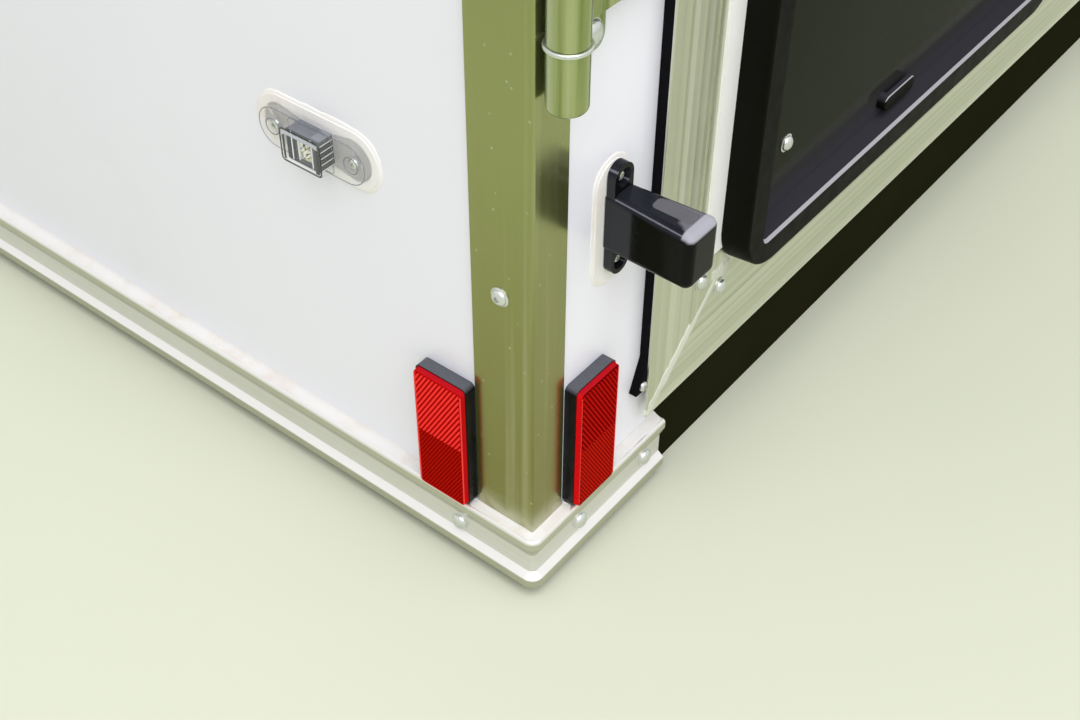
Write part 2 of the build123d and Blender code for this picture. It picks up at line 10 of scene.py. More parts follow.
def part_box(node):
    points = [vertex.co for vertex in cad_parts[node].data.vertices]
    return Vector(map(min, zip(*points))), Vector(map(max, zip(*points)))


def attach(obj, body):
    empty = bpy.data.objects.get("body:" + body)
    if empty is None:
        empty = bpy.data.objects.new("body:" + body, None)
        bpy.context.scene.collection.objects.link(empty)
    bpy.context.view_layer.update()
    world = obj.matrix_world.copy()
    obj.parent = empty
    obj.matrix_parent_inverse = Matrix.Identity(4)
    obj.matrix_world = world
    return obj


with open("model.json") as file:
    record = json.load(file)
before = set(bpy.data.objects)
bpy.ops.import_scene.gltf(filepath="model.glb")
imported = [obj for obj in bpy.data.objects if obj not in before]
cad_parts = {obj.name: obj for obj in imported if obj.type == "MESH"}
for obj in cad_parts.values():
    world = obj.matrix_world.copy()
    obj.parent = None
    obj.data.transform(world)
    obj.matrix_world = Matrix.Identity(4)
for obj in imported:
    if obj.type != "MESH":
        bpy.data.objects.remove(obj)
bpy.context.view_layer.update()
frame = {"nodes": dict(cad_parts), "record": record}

MM = 0.001
nodes = frame["nodes"]

# The walls' corner at the top of the ledge: x and y run out from the end and side wall, z up
POST_GAUGE = 2.5
post_low, post_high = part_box("corner_post")
CORNER = Vector((post_high.x - POST_GAUGE * MM, post_low.y + POST_GAUGE * MM, post_low.z))


def spot(x, y, z):
    """Point in the frame, in metres, from millimetres out from the walls' corner."""
    return CORNER + Vector((x, y, z)) * MM


def edges_of(node):
    """Lowest and highest corner of a CAD node, in millimetres from the walls' corner."""
    low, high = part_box(node)
    return (low - CORNER) / MM, (high - CORNER) / MM


def seen_on(face, node):
    """Left, right, foot, head and front of a CAD node on the side or end face, in millimetres."""
    low, high = edges_of(node)
    if face == "side":
        return low.x, high.x, low.z, high.z, -low.y
    return low.y, high.y, low.z, high.z, high.x


# Camera of the photograph
CAMERA_FROM_CORNER = (380.5, -480.0, 725.3)
CAMERA_YAW = math.radians(38.0)
CAMERA_PITCH = math.radians(43.318)
CAMERA_ROLL = math.radians(0.465)
CAMERA_LENS = 50.0
CAMERA_SENSOR = 36.0
CAMERA_NEAR = 0.01


def add_camera():
    """Camera where the photograph was taken from."""
    back = Vector((
        math.sin(CAMERA_YAW) * math.cos(CAMERA_PITCH),
        -math.cos(CAMERA_YAW) * math.cos(CAMERA_PITCH),
        math.sin(CAMERA_PITCH),
    ))
    level = Vector((0, 0, 1)).cross(back).normalized()
    rise = back.cross(level)
    right = level * math.cos(CAMERA_ROLL) + rise * math.sin(CAMERA_ROLL)
    up = rise * math.cos(CAMERA_ROLL) - level * math.sin(CAMERA_ROLL)
    camera = bpy.data.objects.new("camera", bpy.data.cameras.new("camera"))
    bpy.context.scene.collection.objects.link(camera)
    camera.data.lens = CAMERA_LENS
    camera.data.sensor_width = CAMERA_SENSOR
    camera.data.clip_start = CAMERA_NEAR
    turned = Matrix((right, up, back)).transposed().to_4x4()
    camera.matrix_world = Matrix.Translation(spot(*CAMERA_FROM_CORNER)) @ turned
    bpy.context.scene.camera = camera


# Sockets of the Mix node for colours
MIX_FIRST = 6
MIX_SECOND = 7
MIX_RESULT = 2


class Finish:
    """A Principled material whose colour, roughness and bump are built up node by node."""

    def __init__(self, name, **values):
        self.material = bpy.data.materials.new(name)
        self.material.use_nodes = True
        self.tree = self.material.node_tree
        self.shader = self.tree.nodes["Principled BSDF"]
        for socket, value in values.items():
            self.shader.inputs[socket.replace("_", " ")].default_value = value
        self.coordinates = self.tree.nodes.new("ShaderNodeTexCoord")

    def node(self, kind, inputs, **settings):
        """A shader node, its inputs linked where they are sockets and set where they are values."""
        made = self.tree.nodes.new("ShaderNode" + kind)
        for setting, value in settings.items():
            setattr(made, setting, value)
        for key, value in inputs.items():
            if isinstance(value, bpy.types.NodeSocket):
                self.tree.links.new(value, made.inputs[key])
            else:
                made.inputs[key].default_value = value
        return made

    def place(self, stretch=(1, 1, 1)):
        """The object's own coordinates, in metres. A scale under 1 draws a pattern out along its axis."""
        mapped = self.node("Mapping", {"Vector": self.coordinates.outputs["Object"], "Scale": stretch})
        return mapped.outputs["Vector"]

    def noise(self, scale, stretch=(1, 1, 1), detail=3.0, roughness=0.5):
        """Noise from 0 to 1, scale in lumps per metre."""
        made = self.node(
            "TexNoise",
            {"Vector": self.place(stretch), "Scale": scale, "Detail": detail, "Roughness": roughness},
        )
        return made.outputs["Fac"]

    def cells(self, scale):
        """Distance from the middles of scattered cells, scale in cells per metre."""
        return self.node("TexVoronoi", {"Vector": self.place(), "Scale": scale}).outputs["Distance"]

    def span(self, value, low, high, to_low=0.0, to_high=1.0):
        """value carried from low..high to to_low..to_high, and kept inside."""
        made = self.node(
            "MapRange",
            {"Value": value, "From Min": low, "From Max": high, "To Min": to_low, "To Max": to_high},
        )
        return made.outputs["Result"]

    def maths(self, operation, first, second=0.0):
        """Result of a maths operation on one or two values."""
        return self.node("Math", {0: first, 1: second}, operation=operation).outputs["Value"]

    def mix(self, share, first, second):
        """The first colour, with that share of the second."""
        made = self.node("Mix", {"Factor": share}, data_type="RGBA")
        for index, colour in ((MIX_FIRST, first), (MIX_SECOND, second)):
            if isinstance(colour, bpy.types.NodeSocket):
                self.tree.links.new(colour, made.inputs[index])
            else:
                made.inputs[index].default_value = (*colour, 1)
        return made.outputs[MIX_RESULT]

    def part(self, output, axis):
        """The X, Y or Z part of a vector output."""
        return self.node("SeparateXYZ", {"Vector": output}).outputs[axis]

    def along(self, axis):
        """The object's own coordinate along an axis, in metres."""
        return self.part(self.coordinates.outputs["Object"], axis)

    def facing(self, axis):
        """How far the surface faces an axis, from -1 to 1."""
        return self.part(self.coordinates.outputs["Normal"], axis)

    def between(self, value, low, high):
        """1 where value is between low and high, else 0."""
        return self.maths(
            "MULTIPLY", self.maths("GREATER_THAN", value, low), self.maths("LESS_THAN", value, high)
        )

    def colour(self, output):
        """Link the base colour."""
        self.tree.links.new(output, self.shader.inputs["Base Color"])

    def rough(self, value, low, high, start=0.3, end=0.7):
        """Roughness from low to high as a noise goes from start to end."""
        self.tree.links.new(self.span(value, start, end, low, high), self.shader.inputs["Roughness"])

    def bump(self, height, millimetres):
        """Bump of that many millimetres. Bumps add up."""
        normal = self.shader.inputs["Normal"]
        inputs = {"Height": height, "Distance": millimetres * MM}
        if normal.is_linked:
            inputs["Normal"] = normal.links[0].from_socket
        self.tree.links.new(self.node("Bump", inputs).outputs["Normal"], normal)


def srgb(red, green, blue):
    """Linear colour of an 8-bit sRGB colour."""
    def linear(value):
        value /= 255
        return value / 12.92 if value <= 0.04045 else ((value + 0.055) / 1.055) ** 2.4

    return tuple(linear(value) for value in (red, green, blue))


# Thickness of a panel's skins, in millimetres, and how squarely a section faces its axis
SKIN_GAUGE = 2.0
CUT_FACING = 0.9


def wall_skin(node, thin="X", side_cut=False, dark=(230, 229, 238), pale=(237, 236, 244)):
    """Smooth cool white skin of a panel, which shows foam between its skins where the section cuts it."""
    finish = Finish(f"wall_skin_{node}", Coat_Weight=0.25, Coat_Roughness=0.12)
    shown = finish.mix(finish.noise(3.5, detail=2), srgb(*dark), srgb(*pale))
    grime = finish.span(finish.noise(9, detail=6, roughness=0.65), 0.55, 0.8, 0.0, 0.08)
    shown = finish.mix(grime, shown, srgb(196, 192, 180))
    inward = finish.facing(thin)
    if thin == "X":
        inward = finish.maths("MULTIPLY", inward, -1.0)
    shown = finish.mix(finish.maths("GREATER_THAN", inward, 0.5), shown, srgb(231, 230, 226))
    low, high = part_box(node)
    axis = "XYZ".index(thin)
    core = finish.between(finish.along(thin), low[axis] + SKIN_GAUGE * MM, high[axis] - SKIN_GAUGE * MM)
    cut = finish.maths("GREATER_THAN", finish.facing("Z"), CUT_FACING)
    if side_cut:
        end_cut = finish.maths("LESS_THAN", finish.facing("X"), -CUT_FACING)
        cut = finish.maths("MAXIMUM", cut, end_cut)
    bare = finish.maths("MULTIPLY", core, cut)
    cells = finish.cells(700)
    foam = finish.mix(finish.span(cells, 0.1, 0.6), srgb(214, 200, 158), srgb(240, 230, 198))
    finish.colour(finish.mix(bare, shown, foam))
    finish.bump(finish.maths("MULTIPLY", cells, bare), 0.4)
    finish.rough(finish.noise(25), 0.30, 0.40)
    finish.bump(finish.noise(160, detail=1), 0.02)
    return finish.material


# Heights over the ledge, in millimetres: where the painted dark reflection on the post's lower end fades
# out, and its dull foot
POST_DARK_REFLECTION = (50, 300)
POST_FOOT = 22


def polished_aluminium():
    """Polished extrusion: fine streaks along it, specks, a dull foot, an olive tint and greener bands of
    painted ground reflection, and a painted dark reflection on its lower end.
    """
    finish = Finish("polished_aluminium_finish", Metallic=0.85)
    grain = finish.noise(900, stretch=(1, 1, 0.01), detail=4)
    streak = finish.noise(70, stretch=(1, 1, 0.02), detail=3)
    band = finish.noise(26, stretch=(1, 1, 0.01), detail=1)
    # The olive colours and the greener bands are painted reflection of the ground
    shown = finish.mix(grain, srgb(152, 154, 104), srgb(168, 170, 120))
    shown = finish.mix(finish.span(band, 0.4, 0.6, 0.0, 0.6), shown, srgb(142, 152, 92))
    # Painted dark reflection of the ground, darkest at the post's lower end
    dark_foot, dark_head = (CORNER.z + height * MM for height in POST_DARK_REFLECTION)
    low = finish.span(finish.along("Z"), dark_foot, dark_head, 0.7, 0.0)
    shown = finish.mix(low, shown, srgb(122, 116, 54))
    shown = finish.mix(finish.span(streak, 0.5, 0.7, 0.0, 0.55), shown, srgb(196, 199, 162))
    foot = finish.span(finish.along("Z"), CORNER.z, CORNER.z + POST_FOOT * MM, 1.0, 0.0)
    patches = finish.span(finish.noise(90, detail=4), 0.3, 0.6, 0.2, 0.8)
    shown = finish.mix(finish.maths("MULTIPLY", foot, patches), shown, srgb(204, 206, 184))
    specks = finish.span(finish.cells(90), 0.04, 0.10, 0.4, 0.0)
    finish.colour(finish.mix(specks, shown, srgb(216, 218, 200)))
    finish.rough(streak, 0.16, 0.27, start=0.35)
    finish.bump(grain, 0.004)
    return finish.material


# Heights on the rail from the ledge, in millimetres: its lip, with a painted dark reflection that the waist
# under it lacks, over a soft border, and the top of its lower ridge's face, with the depth in which the
# painted dark reflection there sets in
LIP_FOOT = -14.0
LIP_HEAD = -2.6
LIP_SOFT = 3.0
RIDGE_FACE = -36.3
RIDGE_SOFT = 1.5


def rail_aluminium():
    """Bright satin extrusion with dull patches, a painted sky highlight where it faces up, painted dark
    reflection on its lip and lower face, and painted shade underneath.
    """
    finish = Finish("rail_aluminium_finish", Metallic=0.65)
    grain = finish.noise(400, stretch=(0.02, 0.02, 1), detail=3)
    shown = finish.mix(grain, srgb(210, 210, 203), srgb(226, 226, 220))
    dull = finish.span(finish.noise(9, stretch=(0.4, 0.4, 1), detail=4), 0.5, 0.75, 0.0, 0.35)
    shown = finish.mix(dull, shown, srgb(196, 194, 180))
    height = finish.maths("DIVIDE", finish.maths("SUBTRACT", finish.along("Z"), CORNER.z), MM)
    # Painted dark reflection on the lip, which the waist under it lacks
    over_waist = finish.span(height, LIP_FOOT, LIP_FOOT + LIP_SOFT, 0.0, 0.8)
    lip = finish.maths("MULTIPLY", over_waist, finish.maths("LESS_THAN", height, LIP_HEAD))
    shown = finish.mix(lip, shown, srgb(178, 179, 154))
    # Painted dark reflection on the lower ridge's face
    ridge_face_reflection = finish.span(height, RIDGE_FACE - RIDGE_SOFT, RIDGE_FACE, 0.8, 0.0)
    shown = finish.mix(ridge_face_reflection, shown, srgb(164, 165, 136))
    # Painted sky highlight where the rail faces up
    shown = finish.mix(finish.span(finish.facing("Z"), 0.2, 0.8), shown, srgb(233, 231, 228))
    # Painted shade where the rail faces down
    underside_shade = finish.span(finish.facing("Z"), -0.6, -0.1, 0.85, 0.0)
    finish.colour(finish.mix(underside_shade, shown, srgb(138, 140, 106)))
    finish.rough(finish.noise(20, detail=4), 0.30, 0.40)
    finish.bump(grain, 0.003)
    return finish.material


def fluted_aluminium(name, along):
    """Satin frame: fine lines along the extrusion and broader paler ones between the flutes, on a greenish
    tint that is painted reflection of the ground.
    """
    finish = Finish(name, Metallic=1.0)
    stretch = tuple(0.002 if letter == along else 1 for letter in "XYZ")
    grain = finish.noise(900, stretch=stretch, detail=4)
    streak = finish.noise(160, stretch=stretch, detail=2)
    # The greenish colours are painted reflection of the ground
    shown = finish.mix(grain, srgb(190, 194, 170), srgb(208, 211, 192))
    finish.colour(finish.mix(finish.span(streak, 0.4, 0.62, 0.0, 0.6), shown, srgb(226, 227, 215)))
    finish.rough(finish.noise(20, detail=4), 0.38, 0.5)
    finish.bump(grain, 0.008)
    return finish.material


def plastic(name, colour, rough, specular=0.5, sky=None, edge=None, dust=0.0):
    """Moulded plastic. sky is a painted sky reflection where it faces up, edge a painted highlight on its
    bevels that face up and out.
    """
    finish = Finish(name, Specular_IOR_Level=specular)
    paler = tuple(min(1.0, value * 1.25 + 0.002) for value in colour)
    shown = finish.mix(finish.noise(60), colour, paler)
    # Painted sky reflection on faces that face up
    if sky:
        shown = finish.mix(finish.span(finish.facing("Z"), 0.3, 0.95), shown, sky)
    # Painted highlight on bevels that face up and out
    if edge:
        up, out = finish.facing("Z"), finish.facing("X")
        bevel_highlight = finish.maths("MULTIPLY", finish.between(up, 0.45, 0.9), finish.between(out, 0.4, 0.9))
        shown = finish.mix(bevel_highlight, shown, edge)
    if dust:
        film = finish.span(finish.noise(45, detail=6, roughness=0.7), 0.45, 0.75, 0.0, dust)
        shown = finish.mix(film, shown, srgb(150, 148, 140))
    finish.colour(shown)
    finish.rough(finish.noise(90), rough * 0.85, rough * 1.15)
    finish.bump(finish.noise(1800, detail=1), 0.006)
    return finish.material


# Outline lamp, in millimetres: its greyer root from the wall, the painted highlight on the edge of its plate
# from the plate's back, the painted highlight band back from its tip, and how soft the borders of root and
# band are
LAMP_ROOT = 20.0
LAMP_PLATE_EDGE = 0.5
LAMP_TIP_BAND = 7.5
LAMP_ROOT_SOFT = 1.0
LAMP_TIP_SOFT = 0.5
# The slate area on the lamp's top, a painted reflection, starts where x + y passes this value, over a soft
# border that swings
LAMP_SLATE = 112.0
LAMP_SLATE_SOFT = 3.0
LAMP_SLATE_SWING = 7.0


def outline_lamp_black():
    """Glossy near-black moulding: a greyer root, a painted reflection on its top, and painted highlights on
    its plate's edge, on its rounded edges and at the tip.
    """
    finish = Finish("outline_lamp_finish", Specular_IOR_Level=0.08)
    up, out = finish.facing("Z"), finish.facing("X")
    x, y = finish.along("X"), finish.along("Y")
    low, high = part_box("outline_lamp_body")
    shown = finish.mix(finish.noise(80), srgb(10, 11, 9), srgb(16, 17, 14))
    start, soft = spot(LAMP_ROOT, 0, 0).x, LAMP_ROOT_SOFT * MM
    root = finish.span(x, start - soft, start + soft, 1.0, 0.0)
    near = finish.span(finish.facing("Y"), -0.8, -0.5, 1.0, 0.0)
    shown = finish.mix(finish.maths("MULTIPLY", near, root), shown, srgb(50, 51, 54))
    # Painted highlight along the near edge of the plate
    plate = finish.between(x, low.x - MM, low.x + LAMP_PLATE_EDGE * MM)
    shown = finish.mix(finish.maths("MULTIPLY", near, plate), shown, srgb(158, 160, 164))
    # Painted reflection on the top: slate beyond a swirling border, dark before it
    swing, soft = LAMP_SLATE_SWING * MM, LAMP_SLATE_SOFT * MM
    swirl = finish.span(finish.noise(60, detail=2), 0.3, 0.7, -swing, swing)
    across = finish.maths("ADD", finish.maths("ADD", x, y), swirl)
    border = CORNER.x + CORNER.y + LAMP_SLATE * MM
    slate = finish.span(across, border - soft, border + soft)
    top = finish.mix(slate, srgb(34, 36, 43), srgb(104, 102, 109))
    shown = finish.mix(finish.span(up, 0.9, 0.99), shown, top)
    # Painted highlights on the rounded upper edges: a thin line along the near edge, pale where they face
    # out past the tip
    edge = finish.maths("MULTIPLY", finish.span(up, 0.15, 0.5), finish.span(up, 0.85, 0.98, 1.0, 0.0))
    rounded = finish.mix(finish.between(up, 0.62, 0.74), srgb(34, 35, 41), srgb(104, 106, 116))
    shown = finish.mix(edge, shown, finish.mix(finish.span(out, 0.1, 0.5), rounded, srgb(170, 170, 180)))
    # Painted highlight band back from the tip
    tip, soft = high.x - LAMP_TIP_BAND * MM, LAMP_TIP_SOFT * MM
    band = finish.maths("MULTIPLY", finish.span(up, 0.3, 0.6), finish.span(x, tip - soft, tip + soft))
    finish.colour(finish.mix(band, shown, srgb(162, 162, 172)))
    finish.rough(finish.noise(120, detail=4), 0.1, 0.18)
    finish.bump(finish.noise(1400, detail=1), 0.003)
    return finish.material


def clear_lens():
    """Clear moulded plastic, which lets most light straight through."""
    finish = Finish("clear_lens_finish", Alpha=0.09, IOR=1.55, Specular_IOR_Level=1.0)
    finish.colour(finish.mix(finish.noise(90), srgb(206, 210, 218), srgb(232, 235, 240)))
    finish.rough(finish.noise(150), 0.03, 0.07)
    return finish.material


def red_lens(name, colour, top, right=None, specular=0.0):
    """Red plastic, with colours on top and on the right flank that are painted light and shade."""
    finish = Finish(name, Specular_IOR_Level=specular)
    shown = finish.mix(finish.noise(400, detail=1), colour, tuple(min(1.0, value * 1.3) for value in colour))
    # Painted light and shade: a given colour on the right flank, and below on the top
    if right:
        shown = finish.mix(finish.span(finish.facing("X"), 0.4, 0.9), shown, right)
    finish.colour(finish.mix(finish.span(finish.facing("Z"), 0.4, 0.9), shown, top))
    finish.rough(finish.noise(90), 0.1, 0.2)
    return finish.material


def zinc_steel():
    """Bright plating with dull spots."""
    finish = Finish("zinc_steel_finish", Metallic=0.85)
    shown = finish.mix(finish.noise(40), srgb(198, 202, 196), srgb(218, 222, 218))
    spots = finish.span(finish.noise(260, detail=5, roughness=0.7), 0.6, 0.75, 0.0, 0.4)
    finish.colour(finish.mix(spots, shown, srgb(150, 150, 138)))
    finish.rough(finish.noise(60, detail=4), 0.22, 0.34)
    finish.bump(finish.noise(900, detail=2), 0.008)
    return finish.material


def stainless_steel():
    """Polished hinge, streaked along its height in greens that are painted reflection of the ground, with
    paler streaks that are painted highlights.
    """
    finish = Finish("stainless_steel_finish", Metallic=0.85)
    streak = finish.noise(170, stretch=(1, 1, 0.02), detail=3)
    shown = finish.mix(finish.span(streak, 0.36, 0.64), srgb(120, 136, 74), srgb(168, 176, 124))
    # Paler streaks along the height, painted highlights
    pale = finish.span(finish.noise(60, stretch=(1, 1, 0.01), detail=1), 0.52, 0.66, 0.0, 0.5)
    finish.colour(finish.mix(pale, shown, srgb(196, 203, 184)))
    finish.rough(streak, 0.12, 0.2, start=0.35, end=0.65)
    return finish.material


def black_steel():
    """Dull black paint."""
    finish = Finish("black_steel_finish", Specular_IOR_Level=0.0)
    finish.colour(finish.mix(finish.noise(12, detail=1), srgb(31, 31, 18), srgb(37, 37, 22)))
    finish.rough(finish.noise(50), 0.5, 0.6)
    finish.bump(finish.noise(420), 0.015)
    return finish.material


# Thickness of the floor's plies, in millimetres, and its ribbed film, in radians per metre
PLY_GAUGE = 1.4
FILM_RIBS = 1400.0


def plywood():
    """Dark film with fine slanting ribs on the faces, and plies on the cut edges."""
    finish = Finish("plywood_finish")
    film = finish.mix(finish.noise(14, stretch=(0.3, 3, 1)), srgb(78, 52, 36), srgb(98, 68, 48))
    slant = finish.maths("ADD", finish.along("X"), finish.along("Y"))
    ribs = finish.maths("SINE", finish.maths("MULTIPLY", slant, FILM_RIBS))
    plies = finish.maths("SINE", finish.maths("MULTIPLY", finish.along("Z"), math.pi / (PLY_GAUGE * MM)))
    cut = finish.mix(finish.span(plies, -0.3, 0.3), srgb(196, 160, 112), srgb(142, 100, 62))
    cut = finish.mix(finish.noise(300, stretch=(0.2, 0.2, 3)), cut, srgb(176, 136, 90))
    flat = finish.maths("GREATER_THAN", finish.maths("ABSOLUTE", finish.facing("Z")), CUT_FACING)
    finish.colour(finish.mix(flat, cut, film))
    finish.rough(finish.noise(80), 0.35, 0.5)
    finish.bump(finish.maths("MULTIPLY", ribs, flat), 0.03)
    return finish.material


def sealant(name, dark, pale, smeared, smears=0.6):
    """Sealant with smears of dirt in it."""
    finish = Finish(name)
    smear = finish.span(finish.noise(28, detail=6, roughness=0.65), 0.5, 0.7, 0.0, smears)
    finish.colour(finish.mix(smear, finish.mix(finish.noise(50), dark, pale), smeared))
    finish.rough(finish.noise(120), 0.6, 0.8)
    finish.bump(finish.noise(260, detail=4), 0.12)
    return finish.material


# Heights over the pane's lower edge, in millimetres, between which the painted reflection along its foot
# fades out
PANE_MIRROR = (8, 43)


def tinted_pane():
    """Dark tinted window whose olive tint is a painted reflection of the ground, with a painted reflection
    of the frame's ledge along its foot.
    """
    finish = Finish("tinted_pane_finish", Specular_IOR_Level=0.02)
    foot, head = (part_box("window_pane")[0].z + height * MM for height in PANE_MIRROR)
    shown = finish.mix(finish.noise(6, detail=2), srgb(26, 29, 18), srgb(34, 37, 26))
    # Painted reflection of the ledge along the pane's foot
    mirrored = finish.span(finish.along("Z"), foot, head, 0.9, 0.0)
    finish.colour(finish.mix(mirrored, shown, srgb(66, 64, 73)))
    finish.rough(finish.noise(30), 0.12, 0.2)
    return finish.material


# Finish of each slot in the record, but for the wall skins, which differ from panel to panel
finishes = {
    "polished_aluminium": polished_aluminium(),
    "rail_aluminium": rail_aluminium(),
    "fluted_aluminium": fluted_aluminium("fluted_upright_finish", "Z"),
    "floor_board": plywood(),
    "black_steel": black_steel(),
    "zinc_steel": zinc_steel(),
    # Window frame: painted sky reflection where it faces up, and a painted highlight on its bevels
    "window_black": plastic(
        "window_black_finish", srgb(12, 12, 8), 0.42, specular=0.03, sky=srgb(57, 56, 62),
        edge=srgb(168, 166, 172),
    ),
    "window_glass": tinted_pane(),
    "white_plastic": plastic("white_plastic_finish", srgb(246, 245, 244), 0.4, dust=0.04),
    # Lamp plastic with a painted sky reflection where it faces up
    "lamp_black": plastic("lamp_black_finish", srgb(10, 11, 10), 0.15, specular=0.2, sky=srgb(84, 86, 95)),
    "clear_lens": clear_lens(),
    # Side reflector lens: a painted sky reflection on top and a painted highlight on its right flank
    "red_lens": red_lens("red_lens_finish", srgb(190, 12, 14), srgb(180, 22, 32), srgb(198, 20, 24)),
    "sealant": sealant("sealant_finish", srgb(235, 232, 230), srgb(241, 238, 236), srgb(228, 212, 198)),
    "rubber_black": plastic("rubber_black_finish", srgb(14, 14, 17), 0.6, specular=0.02),
}
door_sealant_finish = sealant(
    "door_sealant_finish", srgb(202, 205, 188), srgb(216, 218, 206), srgb(188, 191, 172), 0.9
)
ledge_sealant_finish = sealant(
    "ledge_sealant_finish", srgb(221, 219, 217), srgb(229, 227, 224), srgb(211, 198, 184)
)
# Nodes whose finish differs from that of their slot
own_finishes = {
    "side_panel": wall_skin("side_panel", "Y", side_cut=True),
    "end_panel": wall_skin("end_panel", dark=(238, 237, 248), pale=(243, 242, 252)),
    "door_panel": wall_skin("door_panel"),
    "door_bottom_rail": fluted_aluminium("fluted_level_finish", "Y"),
    "outline_lamp_body": outline_lamp_black(),
    "outline_lamp_top_lens": plastic("smoked_lens_finish", srgb(90, 89, 95), 0.12, specular=0.06),
    "outline_lamp_red_lens": red_lens("lamp_red_finish", srgb(232, 22, 26), srgb(232, 22, 26), specular=0.1),
    # End reflector lens: a painted sky reflection on top and painted shade on its right flank
    "end_reflector_lens": red_lens("end_lens_finish", srgb(212, 18, 22), srgb(180, 22, 32), srgb(120, 8, 8)),
}
# Reflector bases with a painted sky reflection where they face up
own_finishes.update(dict.fromkeys(
    ("side_reflector_base", "end_reflector_base"),
    plastic("reflector_base_finish", srgb(15, 16, 17), 0.3, specular=0.14, sky=srgb(88, 90, 97), dust=0.04),
))
own_finishes.update(dict.fromkeys(("hinge_strap", "hinge_leaf", "hinge_pin"), stainless_steel()))


def dress_cad_nodes():
    """Give every CAD node its own finish, or that of its slot in the record."""
    for row in frame["record"]["subparts"]:
        node, slot = row["node"], row["material_slot"]
        dressed = nodes[node]
        dressed.data.materials.clear()
        dressed.data.materials.append(own_finishes[node] if node in own_finishes else finishes[slot])


# Directions across, up and out of each face of the body
FACES = {
    "side": ((1, 0, 0), (0, 0, 1), (0, -1, 0)),
    "end": ((0, 1, 0), (0, 0, 1), (1, 0, 0)),
    "ledge": ((1, 0, 0), (0, 1, 0), (0, 0, 1)),
}


def on_face(face, across, up, out=0.0, turn=0.0):
    """Matrix from local millimetres to a place on a face, with z out of it."""
    axes = [Vector(axis) for axis in FACES[face]]
    place = CORNER + (axes[0] * across + axes[1] * up + axes[2] * out) * MM
    return (
        Matrix.Translation(place)
        @ Matrix(axes).transposed().to_4x4()
        @ Matrix.Rotation(math.radians(turn), 4, "Z")
        @ Matrix.Scale(MM, 4)
    )


SMOOTH_ANGLE = math.radians(32)


def add_piece(name, bm, body, slot, *materials):
    """A piece from a bmesh in the frame's metres, smooth but for its sharp edges, riding on a body."""
    bmesh.ops.recalc_face_normals(bm, faces=bm.faces)
    mesh = bpy.data.meshes.new(name)
    bm.to_mesh(mesh)
    bm.free()
    for material in materials or (finishes[slot],):
        mesh.materials.append(material)
    mesh.shade_smooth()
    mesh.set_sharp_from_angle(angle=SMOOTH_ANGLE)
    piece = bpy.data.objects.new(name, mesh)
    bpy.context.scene.collection.objects.link(piece)
    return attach(piece, body)


# Turned fasteners: sides of a ring, rings of a dome, arm of a cross drive, and a drive's foot to its mouth
SIDES = 36
DOME_STEPS = 6
CROSS_ARM = 0.3
DRIVE_TAPER = 0.9


def drive_radius(kind, size, angle):
    """Radius of a hex or cross drive at an angle."""
    if kind == "hex":
        off = (angle + math.pi / 6) % (math.pi / 3) - math.pi / 6
        return size / math.cos(off)
    off = (angle + math.pi / 4) % (math.pi / 2) - math.pi / 4
    return size * CROSS_ARM / max(abs(math.sin(off)), CROSS_ARM)


def dome(radius, height, rim, top):
    """Rings (radius, height) of a dome on a rim, up to a flat top that is a share of its radius."""
    rings = [(radius, rim)]
    for step in range(1, DOME_STEPS + 1):
        angle = math.acos(top) * step / DOME_STEPS
        rise = math.sin(angle) / math.sin(math.acos(top))
        rings.append((radius * math.cos(angle), rim + (height - rim) * rise))
    return rings


def add_turned(bm, place, rings, drive):
    """Turned solid from rings (radius, height), in millimetres, with any drive (kind, size, depth)."""
    angles = [math.tau * step / SIDES for step in range(SIDES)]
    outlines = [[(radius, height)] * SIDES for radius, height in rings]
    if drive:
        kind, size, depth = drive
        top = rings[-1][1]
        outlines.append([(drive_radius(kind, size, angle), top) for angle in angles])
        outlines.append([(drive_radius(kind, size * DRIVE_TAPER, angle), top - depth) for angle in angles])
    loops = [
        [
            bm.verts.new(place @ Vector((radius * math.cos(angle), radius * math.sin(angle), height)))
            for angle, (radius, height) in zip(angles, outline)
        ]
        for outline in outlines
    ]
    for low, high in zip(loops, loops[1:]):
        for index in range(SIDES):
            after = (index + 1) % SIDES
            bm.faces.new((low[index], low[after], high[after], high[index]))
    bm.faces.new(loops[-1])
    bm.faces.new(reversed(loops[0]))


# Rings and drive of each kind of fastener
FASTENER_KINDS = {
    "button": (
        [(6.3, 0), (6.3, 0.5), (5.9, 0.85), (5.3, 1.0)] + dome(5.2, 3.4, rim=1.1, top=0.45),
        ("hex", 1.7, 1.6),
    ),
    "rivet": ([(6.1, 0)] + dome(6.0, 4.1, rim=0.4, top=0.2), None),
    "bolt": ([(6.4, 0), (6.4, 0.6)] + dome(5.3, 4.2, rim=0.7, top=0.3), None),
    "coach": ([(8.2, 0), (8.2, 0.6)] + dome(7.6, 5.0, rim=0.8, top=0.3), None),
    "small": ([(3.6, 0)] + dome(3.5, 2.0, rim=0.5, top=0.62), ("cross", 1.7, 1.0)),
}
